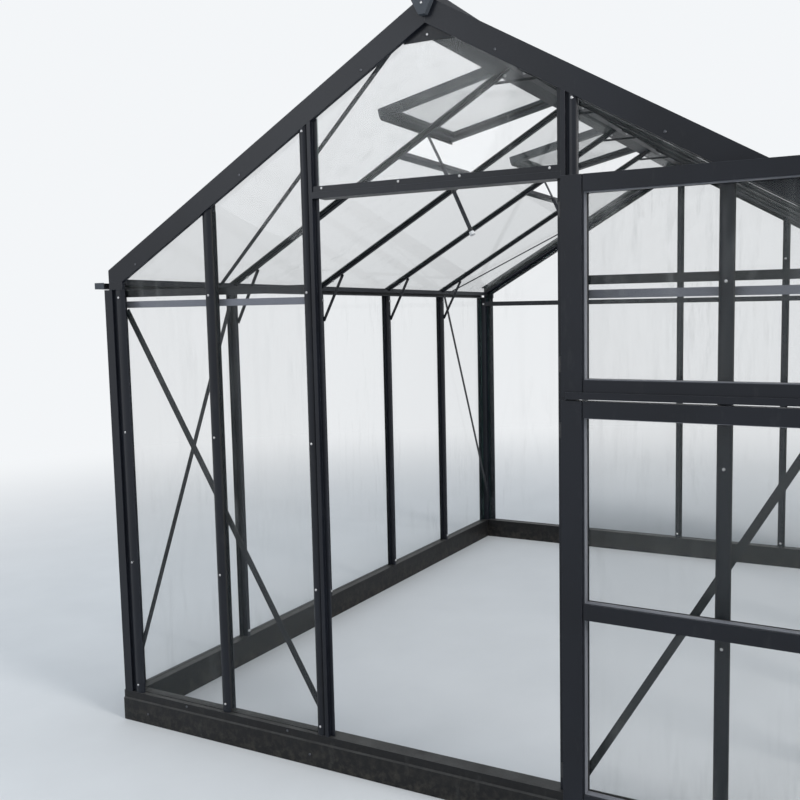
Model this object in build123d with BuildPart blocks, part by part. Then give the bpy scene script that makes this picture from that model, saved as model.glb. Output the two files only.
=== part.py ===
"""Glass greenhouse: black aluminium frame, split door in the front gable, two roof vents.

Millimetres, +Z up. The origin lies at ground level on the front face, in the middle of
the doorway. +X runs to the right as seen from outside the door, +Y runs into the house.
"""

import os
from math import cos, radians, sin, tan

from build123d import *

os.makedirs("parts", exist_ok=True)

# Overall size
half_width = 1423.0
length = 3304.0
eave_height = 1761.0
roof_pitch = 29.4
side_bays = 5
corner_allowance = 27.0

# Base rails under all four walls
base_height = 118.0
base_step = 5.0
base_step_height = 86.0

# Glass and how it sits in the bars
glass = 4.0
glass_inset = 20.0
glass_seat = 0.2
edge_gap = 3.0

# Glazing bars of the walls and the roof
bar_cap_width = 38.0
bar_cap_height = 12.0
bar_cap_side = 4.0
bar_seat_width = 30.0
bar_seat = 3.0
bar_web = 4.0
bar_web_depth = 25.0
bar_foot_width = 16.0
bar_foot = 4.0
roof_bar_web_depth = 3.0

# Corner posts and door jambs
post_width = 94.0
post_face = 14.0
post_body = 40.0
post_wall = 3.0
post_outer_strip = 39.0
post_groove = 10.0
post_groove_depth = 10.0
jamb_width = 66.0
jamb_face_width = 50.0
jamb_inner_strip = 14.0
jamb_body = 26.0
door_stop = 4.0
groove = 5.0
groove_depth = 4.0
jamb_groove_depth = 8.0

# Doorway in the front gable
door_half_opening = 424.0
door_head_height = 40.0
head_channel = 21.0
over_door_side = 184.0
gable_bar_x = 912.0
back_bar_spacing = 644.0

# Gable rafters
rafter_height = 72.0
rafter_face = 14.0
rafter_depth = 50.0
rafter_flange = 4.0
rafter_ledge = 7.0
rafter_lap = 15.0
rafter_end = 26.0
rafter_heel = 50.0
rafter_heel_rise = 20.0
roof_glass_depth = 40.0

# Ridge
ridge_crown_width = 34.0
ridge_crown_rise = 20.0
ridge_nose = 60.0
ridge_wing = 100.0
ridge_wing_thick = 6.0
ridge_web = 5.0
ridge_foot_drop = 58.0
ridge_foot_width = 32.0
ridge_foot = 5.0
ridge_glass_start = 32.0
glass_peak_gap = 5.0
glass_end_setback = 5.0
end_cap_thick = 20.0
end_cap_lip = 3.0
end_cap_half = 36.0
end_cap_tip_half = 11.0
end_cap_tip = 63.0
gusset_thick = 3.0
gusset_half = 84.0
gusset_drop = 133.0
gusset_top = 64.0
gusset_edge_gap = 5.0

# Eave beams with their gutters
eave_beam_face = 41.0
eave_web = 5.0
eave_beam_hollow = 18.0
gutter_reach = 47.0
gutter_rise = 4.0
gutter_height = 24.0
gutter_wall = 3.0
gutter_cap_thick = 3.0

# Roof vents, hinged at the ridge on the left slope
vent_hinge = 46.0
vent_axis_depth = 12.0
hinge_bead = 8.0
vent_length = 585.0
vent_open_angle = 17.0
vent_frame = 38.0
vent_thick = 34.0
vent_glass = 3.0
vent_side_gap = 6.0
vent_sill_width = 34.0
vent_sill_rise = 14.0
vent_sill_lip = 5.0
vent_pane_gap = 10.0
opener_radius = 9.0
opener_length = 319.0
opener_tilt = 25.0
opener_arm_thick = 6.0
opener_end_radius = 11.0
opener_end_length = 15.0
opener_arm_gap = 1.5
opener_setback = 5.0

# Flat bars inside the frame
flat = 3.0
flat_width = 25.0
low_tie_drop = 56.0
high_tie_drop = 14.5
high_tie_width = 27.0
back_tie_drop = 41.0
back_tie_width = 30.0
brace_drop = 78.0
brace_bottom = 128.0
brace_inset = 18.0
brace_end_inset = 20.0
wall_brace_width = 20.0
knee_width = 15.0
knee_drop = 135.0
knee_run = 174.0
knee_top_depth = 52.0
collar_width = 10.0
collar_drop = 105.0
collar_half = 84.0
wall_brace_bottom = 260.0
wall_brace_rise = 12.0
wall_brace_setback = 15.0
roof_brace_start = 190.0
roof_brace_top = 34.0
roof_brace_gap = 82.0

# Split door
door_clearance = 6.0
door_thick = 36.0
door_overlap = 16.0
door_edge = 14.5
door_bottom_gap = 6.0
door_head_gap = 5.0
stile_width = 62.0
bead = 5.0
bead_recess = 4.0
glass_lip = 4.0
glass_lip_thick = 3.0
seam_height = 1348.0
seam_gap = 12.0
seam_strip = 20.0
seam_strip_thick = 5.0
seam_strip_inset = 14.0
seam_strip_clearance = 5.0
door_rail = 48.0
mid_rail_top = 752.0
door_glass = 3.0
upper_open_angle = 179.5
lower_open_angle = 178.5

# Hinges and latches
pin_radius = 3.0
pin_clearance = 0.3
knuckle_radius = 6.0
knuckle_height = 22.0
hinge_plate = 3.0
hinge_plate_width = 34.0
hinge_inset = 90.0
latch_length = 90.0
latch_width = 18.0
latch_height = 14.0

# Sizes worked out from the ones above
pitch = radians(roof_pitch)
ridge_height = eave_height + half_width * tan(pitch)
slope_length = half_width / cos(pitch)
bar_inner = glass / 2 + glass_seat + bar_seat + bar_web_depth + bar_foot
frame_depth = glass_inset + bar_inner
ledge_top = -roof_glass_depth - glass / 2 - glass_seat
bay = (length - 2 * corner_allowance) / side_bays
wall_bar_y = [corner_allowance + bay * number for number in range(1, side_bays)]
edge = bar_web / 2 + edge_gap
middle = Plane.XZ.offset(-length / 2)
ridge_start = rafter_face + gusset_thick
jamb_outer = door_half_opening + jamb_width
head_top = ridge_height - jamb_outer * tan(pitch) - rafter_height / cos(pitch) - over_door_side
door_head_underside = head_top - door_head_height
vent_bays = range(1, side_bays, 2)
door_hinge_x = door_half_opening + door_overlap + door_edge
door_plane_gap = door_thick + door_clearance
leaf_width = door_half_opening + door_overlap + door_hinge_x


def slope_point(along, out):
    """Point (x, z) of the right slope: down from the ridge line and out of the slope."""
    x = along * cos(pitch) + out * sin(pitch)
    z = ridge_height - along * sin(pitch) + out * cos(pitch)
    return (x, z)


def slope_section(along, out=0.0, y=0.0):
    """Cross-section plane of the right slope: x along the house, y out of the slope."""
    x, z = slope_point(along, out)
    return Plane(origin=(x, y, z), x_dir=(0, 1, 0), z_dir=(cos(pitch), 0, -sin(pitch)))


def under_rafter(depth):
    """Plane parallel to the right slope, set below the rafters' top edges."""
    normal = Vector(sin(pitch), 0, cos(pitch))
    return Plane(origin=Vector(0, 0, ridge_height) - normal * depth, x_dir=(0, 1, 0), z_dir=normal)


def bar_section(plane, cap=True, foot=True, web_depth=bar_web_depth):
    """Glazing bar: round cap and neck, and inside the glass its seat, web and foot."""
    out = glass / 2 + glass_seat
    cap_side = out + bar_cap_side
    foot_top = -out - bar_seat - web_depth
    right = [(bar_web / 2, out), (bar_web / 2, -out)]
    if cap:
        right = [(bar_cap_width / 2, cap_side), (bar_cap_width / 2, out)] + right
    if foot:
        right += [
            (bar_seat_width / 2, -out),
            (bar_seat_width / 2, -out - bar_seat),
            (bar_web / 2, -out - bar_seat),
            (bar_web / 2, foot_top),
            (bar_foot_width / 2, foot_top),
            (bar_foot_width / 2, foot_top - bar_foot),
        ]
    left = [(-x, y) for x, y in reversed(right)]
    with BuildSketch(plane) as section:
        with BuildLine():
            Polyline(*right, *left)
            if cap:
                ThreePointArc(left[-1], (0, out + bar_cap_height), right[0])
            else:
                Line(left[-1], right[0])
        make_face()
    return section.sketch


def upright_plane(x, y, outward):
    """Level plane at the top of the base whose y axis points out of the wall."""
    x_dir = Vector(outward).cross(Vector(0, 0, 1))
    return Plane(origin=(x, y, base_height), x_dir=x_dir, z_dir=(0, 0, 1))


def box_between(x, y, z):
    """Box from three (low, high) pairs, added to the part being built."""
    with Locations(((x[0] + x[1]) / 2, (y[0] + y[1]) / 2, (z[0] + z[1]) / 2)):
        Box(x[1] - x[0], y[1] - y[0], z[1] - z[0])


def rafter_line(x, depth=0.0):
    """Height of the slope at x, a given depth below the rafters' top edges."""
    return ridge_height - abs(x) * tan(pitch) - depth / cos(pitch)


def outline(plane, points):
    """Closed straight-sided sketch on a plane."""
    with BuildSketch(plane) as section:
        with BuildLine():
            Polyline(*points, close=True)
        make_face()
    return section.sketch


def across(y):
    """Upright plane across the house: x to the right, y up, facing the front."""
    return Plane(origin=(0, y, 0), x_dir=(1, 0, 0), z_dir=(0, -1, 0))


def finish(piece, name):
    """Label one finished piece and write it under its node's name."""
    piece.part.label = name
    export_step(piece.part, f"parts/{name}.step")


# Base rails: a foot that stands out a little, with the sill set back above it
base_outline = [
    (-base_step, 0),
    (frame_depth, 0),
    (frame_depth, base_height),
    (0, base_height),
    (0, base_step_height + base_step),
    (-base_step, base_step_height),
]

with BuildPart() as front_base_rail:
    foot_half = half_width + base_step
    front_end = Plane(origin=(-foot_half, 0, 0), x_dir=(0, 1, 0), z_dir=(1, 0, 0))
    extrude(outline(front_end, base_outline), amount=2 * foot_half)
finish(front_base_rail, "front_base_rail")

with BuildPart() as back_base_rail:
    mirror(front_base_rail.part, about=middle)
finish(back_base_rail, "back_base_rail")

with BuildPart() as left_base_rail:
    side_end = across(length - frame_depth).shift_origin((-half_width, length - frame_depth, 0))
    extrude(outline(side_end, base_outline), amount=length - 2 * frame_depth)
finish(left_base_rail, "left_base_rail")

with BuildPart() as right_base_rail:
    mirror(left_base_rail.part, about=Plane.YZ)
finish(right_base_rail, "right_base_rail")


# Corner posts: two face plates over the glass edges, hollow body behind them. The plate
# on the gable goes on as a flat strip from the eave up to the rafter.
inner_face = half_width - frame_depth
wall_top = rafter_line(inner_face, -ledge_top) - eave_beam_face
heel_x = half_width - rafter_end - rafter_heel
heel_z = rafter_line(heel_x, rafter_height)
post_inner = half_width - post_width
rafter_end_x = half_width - rafter_end


def heel_line(x):
    """Height of the cut across the rafters' lower ends at x."""
    return heel_z + (x - heel_x) * rafter_heel_rise / rafter_heel


def post_plate(turn):
    """Face plate of a corner post at its foot: flat strip, groove and round channel."""
    channel = post_outer_strip + post_groove
    with BuildSketch(Plane.XY.offset(base_height)) as plate:
        with BuildLine():
            Polyline(
                turn(post_width, post_groove_depth),
                turn(post_width, post_face),
                turn(0, post_face),
                turn(0, 0),
                turn(post_outer_strip, 0),
                turn(post_outer_strip, post_groove_depth),
                turn(channel, post_groove_depth),
            )
            ThreePointArc(
                turn(channel, post_groove_depth),
                turn((channel + post_width) / 2, 0),
                turn(post_width, post_groove_depth),
            )
        make_face()
    return plate.sketch


with BuildPart() as one_corner_post:
    height = ridge_height - base_height
    extrude(post_plate(lambda along, depth: (half_width - along, depth)), amount=height)
    extrude(post_plate(lambda along, depth: (half_width - depth, along)), amount=height)
    with BuildSketch(Plane.XY.offset(base_height)):
        with Locations((half_width - post_face, post_face)):
            Rectangle(post_body, frame_depth - post_face, align=(Align.MAX, Align.MIN))
    extrude(amount=height)
    with BuildSketch(Plane.XY.offset(base_height)):
        with Locations((half_width - post_face - post_wall, post_face + post_wall)):
            Rectangle(
                post_body - 2 * post_wall,
                frame_depth - post_face - 2 * post_wall,
                align=(Align.MAX, Align.MIN),
            )
    extrude(amount=height, mode=Mode.SUBTRACT)
    box_between((post_inner, rafter_end_x), (0, post_face), (wall_top, ridge_height))
    above_post = [
        (post_inner, rafter_line(post_inner, rafter_height)),
        (heel_x, heel_z),
        (rafter_end_x, heel_line(rafter_end_x)),
        (rafter_end_x, wall_top),
        (half_width, wall_top),
        (half_width, ridge_height),
        (post_inner, ridge_height),
    ]
    extrude(outline(across(post_width), above_post), amount=post_width, mode=Mode.SUBTRACT)
    with Locations((half_width, post_face, wall_top)):
        Box(
            2 * post_width,
            post_width,
            ridge_height,
            align=(Align.CENTER, Align.MIN, Align.MIN),
            mode=Mode.SUBTRACT,
        )

with BuildPart() as front_corner_posts:
    add(one_corner_post.part)
    mirror(one_corner_post.part, about=Plane.YZ)
finish(front_corner_posts, "front_corner_posts")

with BuildPart() as back_corner_posts:
    mirror(front_corner_posts.part, about=middle)
finish(back_corner_posts, "back_corner_posts")


# Door jambs run up past the door head to the rafters: face strip, groove and round
# channel, and behind them a door stop and a hollow body
jamb_face_x = jamb_outer - jamb_face_width
jamb_groove_x = jamb_face_x + jamb_inner_strip
jamb_channel_x = jamb_groove_x + groove

with BuildPart() as one_jamb:
    with BuildSketch(Plane.XY.offset(base_height)) as jamb_section:
        with BuildLine():
            Polyline(
                (jamb_outer, jamb_groove_depth),
                (jamb_outer, post_face),
                (jamb_face_x, post_face),
                (jamb_face_x, 0),
                (jamb_groove_x, 0),
                (jamb_groove_x, jamb_groove_depth),
                (jamb_channel_x, jamb_groove_depth),
            )
            ThreePointArc(
                (jamb_channel_x, jamb_groove_depth),
                ((jamb_channel_x + jamb_outer) / 2, 0),
                (jamb_outer, jamb_groove_depth),
            )
        make_face()
        with Locations((door_half_opening, post_face)):
            Rectangle(jamb_body, door_stop, align=(Align.MIN, Align.MIN))
        with Locations((jamb_outer - post_face, post_face)):
            Rectangle(jamb_body, frame_depth - post_face, align=(Align.MAX, Align.MIN))
        with Locations((jamb_outer - post_face - post_wall, post_face + post_wall)):
            Rectangle(
                jamb_body - 2 * post_wall,
                frame_depth - post_face - 2 * post_wall,
                align=(Align.MAX, Align.MIN),
                mode=Mode.SUBTRACT,
            )
    extrude(amount=ridge_height - base_height)
    split(bisect_by=under_rafter(rafter_height), keep=Keep.BOTTOM)

with BuildPart() as door_jambs:
    add(one_jamb.part)
    mirror(one_jamb.part, about=Plane.YZ)
finish(door_jambs, "door_jambs")


# Door head between the jambs: a channel below, a glazing strip above, its body behind
head_levels = (door_head_underside, door_head_underside + head_channel, head_top)

with BuildPart() as door_head:
    box_between((-jamb_face_x, jamb_face_x), (0, post_face), head_levels[:2])
    box_between((-jamb_face_x, jamb_face_x), (groove_depth, post_face), head_levels[1:])
    box_between((-door_half_opening, door_half_opening), (post_face, frame_depth), head_levels[::2])
finish(door_head, "door_head")


# Gable glazing bars
front_glass_y = glass_inset

with BuildPart() as one_gable_bar:
    front_bar_foot = upright_plane(gable_bar_x, front_glass_y, (0, -1, 0))
    extrude(bar_section(front_bar_foot), amount=ridge_height - base_height)
    split(bisect_by=under_rafter(rafter_height), keep=Keep.BOTTOM)

with BuildPart() as front_gable_bars:
    add(one_gable_bar.part)
    mirror(one_gable_bar.part, about=Plane.YZ)
finish(front_gable_bars, "front_gable_bars")

back_glass_y = length - glass_inset

with BuildPart() as one_back_bar:
    back_bar_foot = upright_plane(back_bar_spacing, back_glass_y, (0, 1, 0))
    extrude(bar_section(back_bar_foot), amount=ridge_height - base_height)
    split(bisect_by=under_rafter(rafter_height), keep=Keep.BOTTOM)

with BuildPart() as back_middle_bar:
    middle_bar_foot = upright_plane(0, back_glass_y, (0, 1, 0))
    extrude(bar_section(middle_bar_foot), amount=ridge_height - gusset_drop - base_height)

with BuildPart() as back_gable_bars:
    add(back_middle_bar.part)
    add(one_back_bar.part)
    mirror(one_back_bar.part, about=Plane.YZ)
finish(back_gable_bars, "back_gable_bars")


# Gable rafters: broad face, top flange over the roof glass, ledge under it
rafter_outline = [
    (0, 0),
    (rafter_depth, 0),
    (rafter_depth, -rafter_flange),
    (rafter_face, -rafter_flange),
    (rafter_face, ledge_top),
    (rafter_depth, ledge_top),
    (rafter_depth, ledge_top - rafter_ledge),
    (rafter_face, ledge_top - rafter_ledge),
    (rafter_face, -rafter_height),
    (0, -rafter_height),
]

with BuildPart() as one_rafter:
    extrude(outline(slope_section(0), rafter_outline), amount=slope_length, both=True)
    split(bisect_by=Plane.YZ, keep=Keep.TOP)
    split(bisect_by=Plane.YZ.offset(rafter_end_x), keep=Keep.BOTTOM)
    below_heel = [
        (heel_x, heel_z),
        (half_width, heel_line(half_width)),
        (half_width, base_height),
        (heel_x, base_height),
    ]
    extrude(outline(across(2 * rafter_depth), below_heel), amount=2 * rafter_depth, mode=Mode.SUBTRACT)
    notch_half = ridge_crown_width / 2 + glass_seat
    with Locations((0, 0, ridge_height)):
        Box(2 * notch_half, rafter_face * 2, 2 * ridge_nose, mode=Mode.SUBTRACT)
    with Locations((0, rafter_face, ridge_height)):
        Box(
            2 * notch_half,
            rafter_depth,
            4 * rafter_height,
            align=(Align.CENTER, Align.MIN, Align.CENTER),
            mode=Mode.SUBTRACT,
        )
finish(one_rafter, "front_right_rafter")

with BuildPart() as front_left_rafter:
    mirror(one_rafter.part, about=Plane.YZ)
finish(front_left_rafter, "front_left_rafter")

with BuildPart() as back_right_rafter:
    mirror(one_rafter.part, about=middle)
finish(back_right_rafter, "back_right_rafter")

with BuildPart() as back_left_rafter:
    mirror(front_left_rafter.part, about=middle)
finish(back_left_rafter, "back_left_rafter")


# Ridge beam: crown, wings over the glass, hinge beads for the vents, web and foot
wing_top = ledge_top + glass + 2 * glass_seat + ridge_wing_thick
bead_top = -vent_axis_depth + hinge_bead / 2
ridge_half = [
    (0, ridge_height + ridge_crown_rise),
    (ridge_crown_width / 2 - groove_depth, ridge_height + ridge_crown_rise),
    (ridge_crown_width / 2, ridge_height + ridge_crown_rise - groove_depth),
    (ridge_crown_width / 2, rafter_line(ridge_crown_width / 2, -bead_top)),
    slope_point(vent_hinge, bead_top),
    slope_point(vent_hinge, bead_top - hinge_bead),
    (ridge_crown_width / 2, rafter_line(ridge_crown_width / 2, hinge_bead - bead_top)),
    (ridge_crown_width / 2, rafter_line(ridge_crown_width / 2, -wing_top)),
    slope_point(ridge_wing, wing_top),
    slope_point(ridge_wing, wing_top - ridge_wing_thick),
    (ridge_web / 2, rafter_line(ridge_web / 2, ridge_wing_thick - wing_top)),
    (ridge_web / 2, ridge_height - ridge_foot_drop),
    (ridge_foot_width / 2, ridge_height - ridge_foot_drop),
    (ridge_foot_width / 2, ridge_height - ridge_foot_drop - ridge_foot),
    (0, ridge_height - ridge_foot_drop - ridge_foot),
]

with BuildPart() as ridge_beam:
    extrude(outline(across(length - ridge_start), ridge_half), amount=length - 2 * ridge_start)
    mirror(about=Plane.YZ)
    crown = (ridge_height - ridge_nose, ridge_height + ridge_crown_rise)
    crown_x = (-ridge_crown_width / 2, ridge_crown_width / 2)
    for start in (0, length - ridge_start):
        box_between(crown_x, (start, start + ridge_start), crown)
finish(ridge_beam, "ridge_beam")

with BuildPart() as ridge_end_caps:
    cap_half = [
        (0, ridge_height + ridge_crown_rise + end_cap_lip),
        (ridge_crown_width / 2 + end_cap_lip, ridge_height + ridge_crown_rise + end_cap_lip),
        (end_cap_half, rafter_line(end_cap_half, -end_cap_lip)),
        (end_cap_tip_half, ridge_height - end_cap_tip),
        (0, ridge_height - end_cap_tip),
    ]
    extrude(outline(across(0), cap_half), amount=end_cap_thick)
    mirror(about=Plane.YZ)
    mirror(about=middle)
finish(ridge_end_caps, "ridge_end_caps")

with BuildPart() as apex_gussets:
    gusset_half_outline = [
        (0, ridge_height - gusset_top),
        (gusset_half, rafter_line(gusset_half, rafter_height - gusset_edge_gap)),
        (gusset_half, ridge_height - gusset_drop),
        (0, ridge_height - gusset_drop),
    ]
    extrude(outline(across(ridge_start), gusset_half_outline), amount=gusset_thick)
    mirror(about=Plane.YZ)
    mirror(about=middle)
finish(apex_gussets, "apex_gussets")


# Eave beams between the gables, with a gutter along their outer faces
with BuildPart() as right_eave_beam:
    eave_outline = [
        (inner_face, wall_top),
        (half_width, wall_top),
        (half_width, rafter_line(half_width, -ledge_top)),
        (inner_face, rafter_line(inner_face, -ledge_top)),
    ]
    run = length - 2 * frame_depth
    extrude(outline(across(length - frame_depth), eave_outline), amount=run)
    hollow = (inner_face - eave_web, half_width - post_face - eave_web)
    hollow_z = (wall_top + eave_web, wall_top + eave_beam_hollow)
    with Locations((hollow[0], length / 2, hollow_z[0])):
        Box(
            hollow[1] - hollow[0],
            length,
            hollow_z[1] - hollow_z[0],
            align=(Align.MIN, Align.CENTER, Align.MIN),
            mode=Mode.SUBTRACT,
        )
finish(right_eave_beam, "right_eave_beam")

with BuildPart() as left_eave_beam:
    mirror(right_eave_beam.part, about=Plane.YZ)
finish(left_eave_beam, "left_eave_beam")

with BuildPart() as right_gutter:
    gutter_foot = wall_top + gutter_rise
    gutter_top = gutter_foot + gutter_height
    trough_side = min(gutter_top, rafter_line(half_width, -ledge_top) - gutter_wall)
    gutter_outline = [
        (half_width, trough_side),
        (half_width, gutter_foot),
        (half_width + gutter_reach - gutter_wall, gutter_foot),
        (half_width + gutter_reach, gutter_foot + gutter_wall),
        (half_width + gutter_reach, gutter_top),
        (half_width + gutter_reach - 2 * gutter_wall, gutter_top),
        (half_width + gutter_reach - 2 * gutter_wall, gutter_top - gutter_wall),
        (half_width + gutter_reach - gutter_wall, gutter_top - gutter_wall),
        (half_width + gutter_reach - gutter_wall, gutter_foot + gutter_wall),
        (half_width + gutter_wall, gutter_foot + gutter_wall),
        (half_width + gutter_wall, trough_side),
    ]
    extrude(outline(across(length), gutter_outline), amount=length)
finish(right_gutter, "right_gutter")

with BuildPart() as left_gutter:
    mirror(right_gutter.part, about=Plane.YZ)
finish(left_gutter, "left_gutter")

with BuildPart() as gutter_end_caps:
    end_outline = [
        (half_width, gutter_foot),
        (half_width + gutter_reach, gutter_foot),
        (half_width + gutter_reach, gutter_top),
        (half_width, gutter_top),
    ]
    extrude(outline(across(0), end_outline), amount=gutter_cap_thick)
    mirror(about=Plane.YZ)
    mirror(about=middle)
finish(gutter_end_caps, "gutter_end_caps")


# Wall bars of the long sides
with BuildPart() as right_wall_bars:
    for bar_y in wall_bar_y:
        bar_foot_plane = upright_plane(half_width - glass_inset, bar_y, (1, 0, 0))
        extrude(bar_section(bar_foot_plane), amount=wall_top - base_height)
finish(right_wall_bars, "right_wall_bars")

with BuildPart() as left_wall_bars:
    mirror(right_wall_bars.part, about=Plane.YZ)
finish(left_wall_bars, "left_wall_bars")


# Roof bars: the inner half runs from the ridge beam to the eave beam, the cap from the
# ridge wing to the glass edge
glass_end = slope_length - glass_end_setback

with BuildPart() as right_roof_bars:
    for bar_y in wall_bar_y:
        top_plane = slope_section(ridge_glass_start, -roof_glass_depth, bar_y)
        inner_half = bar_section(top_plane, cap=False, web_depth=roof_bar_web_depth)
        extrude(inner_half, amount=slope_length - ridge_glass_start)
    split(bisect_by=Plane.YZ.offset(ridge_foot_width / 2 + glass_seat), keep=Keep.TOP)
    split(bisect_by=Plane.YZ.offset(inner_face), keep=Keep.BOTTOM)
    for bar_y in wall_bar_y:
        top_plane = slope_section(ridge_wing, -roof_glass_depth, bar_y)
        extrude(bar_section(top_plane, foot=False), amount=glass_end - ridge_wing)
finish(right_roof_bars, "right_roof_bars")

with BuildPart() as left_roof_bars:
    mirror(right_roof_bars.part, about=Plane.YZ)
finish(left_roof_bars, "left_roof_bars")


# Glass of the long sides and of the roof
wall_edges = [frame_depth + edge_gap]
for bar_y in wall_bar_y:
    wall_edges += [bar_y - edge, bar_y + edge]
wall_edges.append(length - wall_edges[0])
wall_panes = list(zip(wall_edges[::2], wall_edges[1::2]))

roof_edges = [rafter_face + edge_gap] + wall_edges[1:-1] + [length - rafter_face - edge_gap]
roof_panes = list(zip(roof_edges[::2], roof_edges[1::2]))

with BuildPart() as right_wall_glass:
    glass_x = half_width - glass_inset
    for low, high in wall_panes:
        box_between((glass_x - glass / 2, glass_x + glass / 2), (low, high), (base_height, wall_top))
finish(right_wall_glass, "right_wall_glass")

with BuildPart() as left_wall_glass:
    mirror(right_wall_glass.part, about=Plane.YZ)
finish(left_wall_glass, "left_wall_glass")


def roof_pane(low, high, start):
    """Outline of one roof pane of the right slope, in the plane of the slope."""
    points = [(low, -start), (high, -start), (high, -glass_end), (low, -glass_end)]
    return outline(under_rafter(roof_glass_depth + glass / 2), points)


with BuildPart() as right_roof_glass:
    for low, high in roof_panes:
        extrude(roof_pane(low, high, ridge_glass_start), amount=glass)
finish(right_roof_glass, "right_roof_glass")

sill_start = vent_hinge + vent_length - vent_sill_width

with BuildPart() as vented_roof_glass:
    for number, (low, high) in enumerate(roof_panes):
        start = sill_start + vent_pane_gap if number in vent_bays else ridge_glass_start
        extrude(roof_pane(low, high, start), amount=glass)

with BuildPart() as left_roof_glass:
    mirror(vented_roof_glass.part, about=Plane.YZ)
finish(left_roof_glass, "left_roof_glass")


# Glass of the gables, cut along the rafters and below the ridge beam
gable_glass_top = rafter_height - rafter_lap
glass_peak = ridge_height - ridge_foot_drop - ridge_foot - glass_peak_gap
post_edge = half_width - post_face - post_body - edge_gap
jamb_edge = jamb_outer - post_face + edge_gap


def gable_pane(y, left, right, bottom):
    """One upright pane from left to right, as a sketch on the pane's front face."""
    peak_x = (rafter_line(0, gable_glass_top) - glass_peak) / tan(pitch)
    stops = [right] + [x for x in (peak_x, -peak_x) if left < x < right] + [left]
    top = [(x, min(glass_peak, rafter_line(x, gable_glass_top))) for x in stops]
    return outline(across(y + glass / 2), [(left, bottom), (right, bottom)] + top)


with BuildPart() as front_gable_glass:
    extrude(gable_pane(front_glass_y, jamb_edge, gable_bar_x - edge, base_height), amount=glass)
    extrude(gable_pane(front_glass_y, gable_bar_x + edge, post_edge, base_height), amount=glass)
    mirror(about=Plane.YZ)
finish(front_gable_glass, "front_gable_glass")

with BuildPart() as over_door_glass:
    over_door_edge = door_half_opening - glass_seat
    extrude(gable_pane(front_glass_y, -over_door_edge, over_door_edge, head_top), amount=glass)
finish(over_door_glass, "over_door_glass")

with BuildPart() as back_gable_glass:
    inner_right = back_bar_spacing - edge
    outer_left = back_bar_spacing + edge
    extrude(gable_pane(back_glass_y, edge, inner_right, base_height), amount=glass)
    extrude(gable_pane(back_glass_y, outer_left, post_edge, base_height), amount=glass)
    mirror(about=Plane.YZ)
finish(back_gable_glass, "back_gable_glass")


# Roof vents, standing open on the left slope: modelled on the right one and mirrored
vent_pitch = pitch - radians(vent_open_angle)
hinge_x, hinge_z = slope_point(vent_hinge, -vent_axis_depth)
vent_ranges = [
    (roof_panes[number][0] + vent_side_gap, roof_panes[number][1] - vent_side_gap)
    for number in vent_bays
]


def vent_section(along):
    """Cross-section plane of the open vents: x along the house, y out of the vent."""
    x = hinge_x + along * cos(vent_pitch)
    z = hinge_z - along * sin(vent_pitch)
    return Plane(origin=(x, 0, z), x_dir=(0, 1, 0), z_dir=(cos(vent_pitch), 0, -sin(vent_pitch)))


def vent_bar(low, high, thick):
    """Rectangle of a vent's cross-section, from low to high along the house."""
    half = thick / 2
    return [(low, -half), (high, -half), (high, half), (low, half)]


with BuildPart() as vent_stiles_right:
    for low, high in vent_ranges:
        for start in (low, high - vent_frame):
            stile = vent_bar(start, start + vent_frame, vent_thick)
            extrude(outline(vent_section(hinge_bead), stile), amount=vent_length - hinge_bead)

with BuildPart() as vent_stiles:
    mirror(vent_stiles_right.part, about=Plane.YZ)
finish(vent_stiles, "vent_stiles")

with BuildPart() as vent_rails_right:
    for low, high in vent_ranges:
        rail = vent_bar(low + vent_frame, high - vent_frame, vent_thick)
        for start in (hinge_bead, vent_length - vent_frame):
            extrude(outline(vent_section(start), rail), amount=vent_frame)

with BuildPart() as vent_rails:
    mirror(vent_rails_right.part, about=Plane.YZ)
finish(vent_rails, "vent_rails")

with BuildPart() as vent_glass_right:
    for low, high in vent_ranges:
        pane = vent_bar(low + vent_frame, high - vent_frame, vent_glass)
        run = vent_length - hinge_bead - 2 * vent_frame
        extrude(outline(vent_section(hinge_bead + vent_frame), pane), amount=run)

with BuildPart() as vent_panes:
    mirror(vent_glass_right.part, about=Plane.YZ)
finish(vent_panes, "vent_glass")

# Sills under the vents' free edges: a lip before the lower pane and a lap over it
pane_top = -roof_glass_depth + glass / 2 + glass_seat
sill_low = ledge_top - bar_seat
sill_outline = [
    slope_point(sill_start, sill_low),
    slope_point(sill_start + vent_sill_lip, sill_low),
    slope_point(sill_start + vent_sill_lip, pane_top),
    slope_point(sill_start + vent_sill_width, pane_top),
    slope_point(sill_start + vent_sill_width, pane_top + vent_sill_rise),
    slope_point(sill_start, pane_top + vent_sill_rise),
]

with BuildPart() as vent_sills_right:
    for number in vent_bays:
        low = wall_bar_y[number - 1] + bar_cap_width / 2
        high = wall_bar_y[number] - bar_cap_width / 2
        extrude(outline(across(high), sill_outline), amount=high - low)

with BuildPart() as vent_sills:
    mirror(vent_sills_right.part, about=Plane.YZ)
finish(vent_sills, "vent_sills")

# Automatic openers: a cylinder hung at the sill and an arm up to the vent's low rail
arm_x = hinge_x + (vent_length - vent_frame) * cos(vent_pitch)
arm_z = hinge_z - (vent_length - vent_frame) * sin(vent_pitch) - vent_thick / 2 / cos(vent_pitch)
sill_x, opener_z = slope_point(sill_start, sill_low)
opener_x = sill_x - opener_radius - opener_setback
opener_slant = radians(opener_tilt)

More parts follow.
